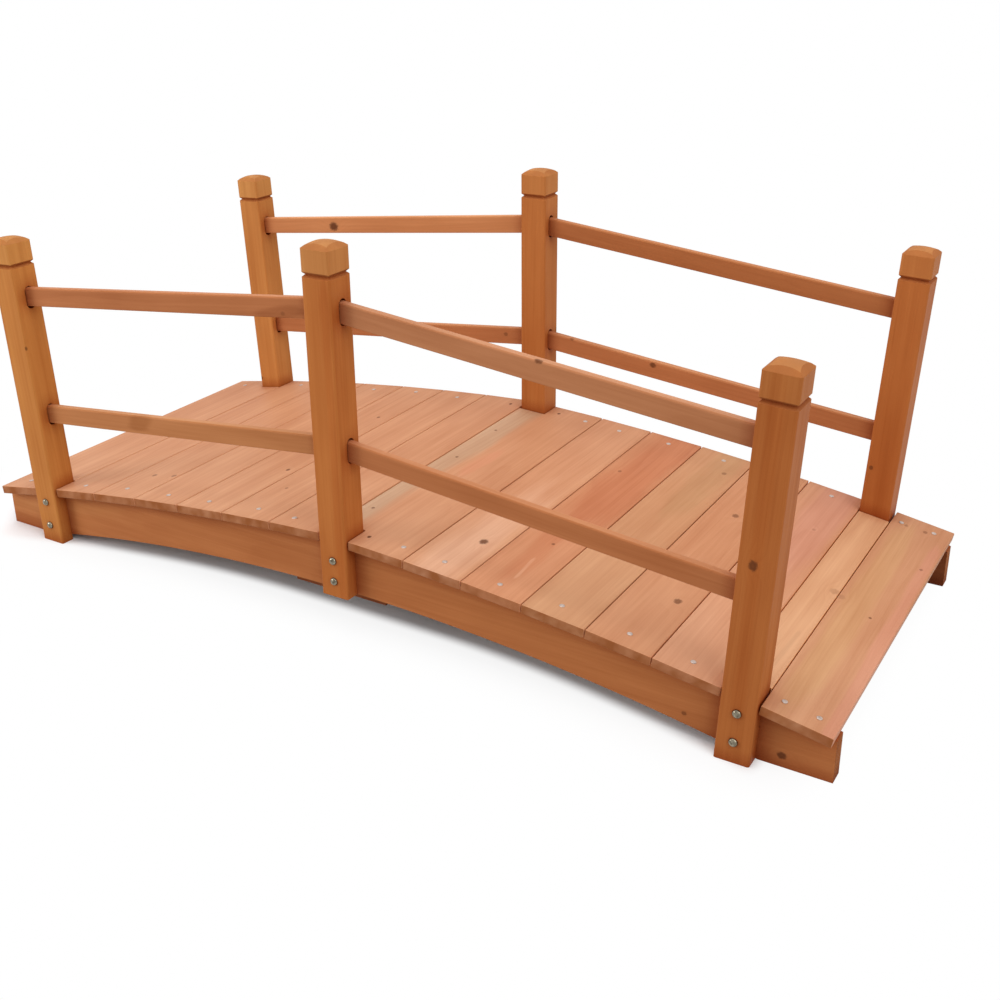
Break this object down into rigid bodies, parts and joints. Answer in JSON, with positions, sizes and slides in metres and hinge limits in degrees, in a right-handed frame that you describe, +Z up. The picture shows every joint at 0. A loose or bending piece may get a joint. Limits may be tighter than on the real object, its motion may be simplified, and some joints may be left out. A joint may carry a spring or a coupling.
{
  "type": "garden moon bridge",
  "caption": "Small arched garden bridge of stained wood: arched beams, a deck of cross boards, capped posts half lapped over the beams, and two rails on each side.",
  "frame": {"origin": "on the ground under the middle of the bridge, halfway along and halfway across", "axes": "+X along the bridge towards its right end, +Y across the bridge towards its back, +Z up"},
  "size_m": [1.4, 0.609, 0.56],
  "materials": {
    "beam_wood": "satin stain",
    "post_wood": "satin stain",
    "rail_wood": "satin stain",
    "deck_wood": "satin stain",
    "bolt_steel": "zinc plated"
  },
  "bodies": {
    "root": {"left_front_beam": "beam_wood", "left_front_top_rail": "rail_wood", "left_front_low_rail": "rail_wood", "right_front_beam": "beam_wood", "right_front_top_rail": "rail_wood", "right_front_low_rail": "rail_wood", "front_splice_board": "beam_wood", "left_front_post": "post_wood", "middle_front_post": "post_wood", "right_front_post": "post_wood", "left_back_beam": "beam_wood", "left_back_top_rail": "rail_wood", "left_back_low_rail": "rail_wood", "right_back_beam": "beam_wood", "right_back_top_rail": "rail_wood", "right_back_low_rail": "rail_wood", "back_splice_board": "beam_wood", "left_back_post": "post_wood", "middle_back_post": "post_wood", "right_back_post": "post_wood", "deck_board_1": "deck_wood", "deck_board_2": "deck_wood", "deck_board_3": "deck_wood", "deck_board_4": "deck_wood", "deck_board_5": "deck_wood", "deck_board_6": "deck_wood", "deck_board_7": "deck_wood", "deck_board_8": "deck_wood", "deck_board_9": "deck_wood", "deck_board_10": "deck_wood", "deck_board_11": "deck_wood", "deck_board_12": "deck_wood", "deck_board_13": "deck_wood", "deck_board_14": "deck_wood", "deck_board_15": "deck_wood"}
  },
  "joints": []
}
